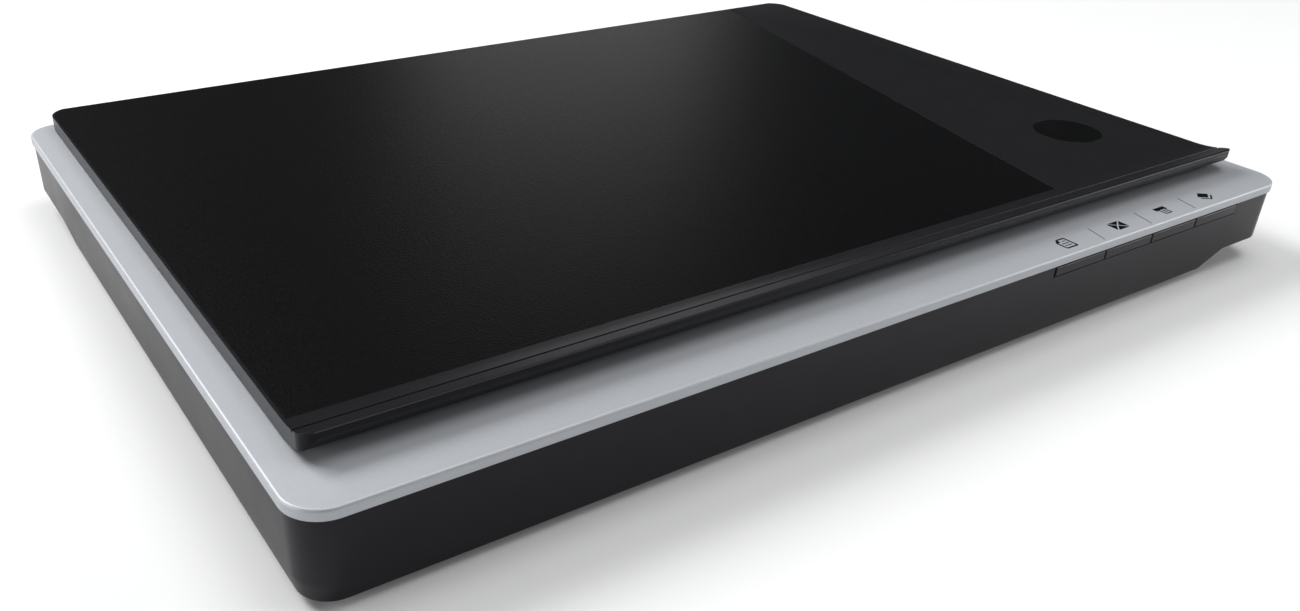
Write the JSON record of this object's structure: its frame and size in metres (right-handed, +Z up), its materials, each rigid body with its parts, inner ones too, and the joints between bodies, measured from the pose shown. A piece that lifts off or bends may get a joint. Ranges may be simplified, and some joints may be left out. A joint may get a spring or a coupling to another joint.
{
  "type": "flatbed scanner",
  "caption": "Slim A4 flatbed scanner: silver bezel, glass platen, hinged lid with a rising front lip, belt-driven sensor carriage and front keys.",
  "frame": {"origin": "under the middle of the case, on the surface that the feet stand on", "axes": "+X along the front to the right end with the keys, +Y from the front to the rear hinges, +Z up"},
  "size_m": [0.398, 0.286, 0.0401],
  "materials": {
    "black_shell": "fine satin moulding",
    "silver_bezel": "satin silver-grey moulding",
    "key_black": "satin",
    "platen_glass": "clear float glass",
    "sensor_glass": "thin clear glass",
    "clear_guide": "clear acrylic",
    "black_tape": "thin foam tape",
    "white_strip": "matte white",
    "rubber": "soft, fine grain",
    "zinc_steel": "zinc-plated",
    "polished_steel": "ground and polished",
    "board_green": "solder mask over fibreglass",
    "chip_black": "moulded epoxy",
    "port_metal": "plated sheet",
    "ribbon_white": "flat ribbon cable",
    "gear_acetal": "natural acetal",
    "pinion_brass": "turned",
    "motor_steel": "drawn can, satin",
    "belt_rubber": "ribbed synthetic rubber",
    "spring_steel": "bright spring strip",
    "frame_black": "glass-filled moulding",
    "bronze": "sintered bronze",
    "lid_black": "low-gloss moulding, glossier on the lip",
    "panel_texture": "fine pebbled grain",
    "badge_gloss": "high gloss",
    "liner_white": "satin",
    "foam_white": "closed-cell foam"
  },
  "bodies": {
    "scanner_base": {"base_shell": "black_shell", "top_bezel": "silver_bezel", "glass_platen": "platen_glass", "glass_tape": "black_tape", "calibration_strip": "white_strip", "rubber_feet": "rubber", "case_screws": "zinc_steel", "main_board": "board_green", "board_components": "chip_black", "usb_port": "port_metal", "button_board": "board_green", "tact_switches": "chip_black", "flex_cable": "ribbon_white", "motor_can": "motor_steel", "motor_bracket": "zinc_steel", "gear_axles": "polished_steel", "belt_tensioner": "frame_black", "tensioner_spring": "spring_steel", "timing_belt": "belt_rubber", "guide_shaft": "polished_steel", "shaft_clips": "zinc_steel", "board_screws": "zinc_steel"},
    "carriage": {"scan_carriage": "frame_black", "shaft_bushes": "bronze", "belt_clamp": "frame_black", "rear_glide": "gear_acetal", "sensor_springs": "spring_steel"},
    "sensor_bar": {"sensor_housing": "frame_black", "sensor_window": "sensor_glass", "rod_lens": "clear_guide", "light_guide": "clear_guide", "sensor_board": "board_green", "glass_spacers": "gear_acetal"},
    "hinge_posts": {"hinge_post_left": "frame_black", "hinge_post_right": "frame_black"},
    "lid": {"lid_cover": "lid_black", "textured_panel": "panel_texture", "badge_disc": "badge_gloss", "lid_liner": "liner_white", "lid_foam": "foam_white", "lid_sheet": "white_strip", "lid_screws": "zinc_steel", "lid_bumpers": "rubber", "hinge_pins": "polished_steel", "hinge_arm_left": "zinc_steel", "hinge_arm_right": "zinc_steel"},
    "document_key": {"document_key": "key_black"},
    "mail_key": {"mail_key": "key_black"},
    "copy_key": {"copy_key": "key_black"},
    "photo_key": {"photo_key": "key_black"},
    "drive_pulley": {"drive_pulley": "gear_acetal", "drive_gear": "gear_acetal"},
    "idler_pulley": {"idler_pulley": "gear_acetal"},
    "reduction_gear": {"reduction_gear": "gear_acetal"},
    "motor_rotor": {"motor_pinion": "pinion_brass"}
  },
  "joints": [
    {"name": "lid_lift", "type": "slide", "parent": "scanner_base", "child": "hinge_posts", "axis": [0, 0, 1], "range_m": [0, 0.012]},
    {"name": "lid_hinge", "type": "hinge", "parent": "hinge_posts", "child": "lid", "pos_m": [0, 0.1386, 0.0343], "axis": [-1, 0, 0], "range_deg": [0, 95]},
    {"name": "carriage_slide", "type": "slide", "parent": "scanner_base", "child": "carriage", "axis": [-1, 0, 0], "range_m": [0, 0.304], "deforming": ["flex_cable"]},
    {"name": "sensor_float", "type": "slide", "parent": "carriage", "child": "sensor_bar", "axis": [0, 0, 1], "range_m": [-0.0008, 0], "stiffness_N_per_m": 1500, "springref_m": 0.0012, "deforming": ["sensor_springs"]},
    {"name": "document_key_press", "type": "slide", "parent": "scanner_base", "child": "document_key", "axis": [0, 1, 0], "range_m": [0, 0.0008], "stiffness_N_per_m": 1200, "springref_m": -0.0003},
    {"name": "mail_key_press", "type": "slide", "parent": "scanner_base", "child": "mail_key", "axis": [0, 1, 0], "range_m": [0, 0.0008], "stiffness_N_per_m": 1200, "springref_m": -0.0003},
    {"name": "copy_key_press", "type": "slide", "parent": "scanner_base", "child": "copy_key", "axis": [0, 1, 0], "range_m": [0, 0.0008], "stiffness_N_per_m": 1200, "springref_m": -0.0003},
    {"name": "photo_key_press", "type": "slide", "parent": "scanner_base", "child": "photo_key", "axis": [0, 1, 0], "range_m": [0, 0.0008], "stiffness_N_per_m": 1200, "springref_m": -0.0003},
    {"name": "drive_pulley_spin", "type": "hinge", "parent": "scanner_base", "child": "drive_pulley", "pos_m": [0.149, -0.13, 0.0084], "axis": [0, 0, 1], "continuous": true},
    {"name": "idler_pulley_spin", "type": "hinge", "parent": "scanner_base", "child": "idler_pulley", "pos_m": [-0.185, -0.13, 0.0084], "axis": [0, 0, 1], "continuous": true},
    {"name": "reduction_gear_spin", "type": "hinge", "parent": "scanner_base", "child": "reduction_gear", "pos_m": [0.15757, -0.12143, 0.016], "axis": [0, 0, 1], "continuous": true},
    {"name": "motor_spin", "type": "hinge", "parent": "scanner_base", "child": "motor_rotor", "pos_m": [0.16854, -0.11254, 0.016], "axis": [0, 0, 1], "continuous": true}
  ],
  "couplings": [
    {"joint": "drive_pulley_spin", "follows": "carriage_slide", "rad_per_m": 185.19},
    {"joint": "idler_pulley_spin", "follows": "carriage_slide", "rad_per_m": 185.19},
    {"joint": "reduction_gear_spin", "follows": "carriage_slide", "rad_per_m": -370.37},
    {"joint": "motor_spin", "follows": "carriage_slide", "rad_per_m": 1358}
  ]
}
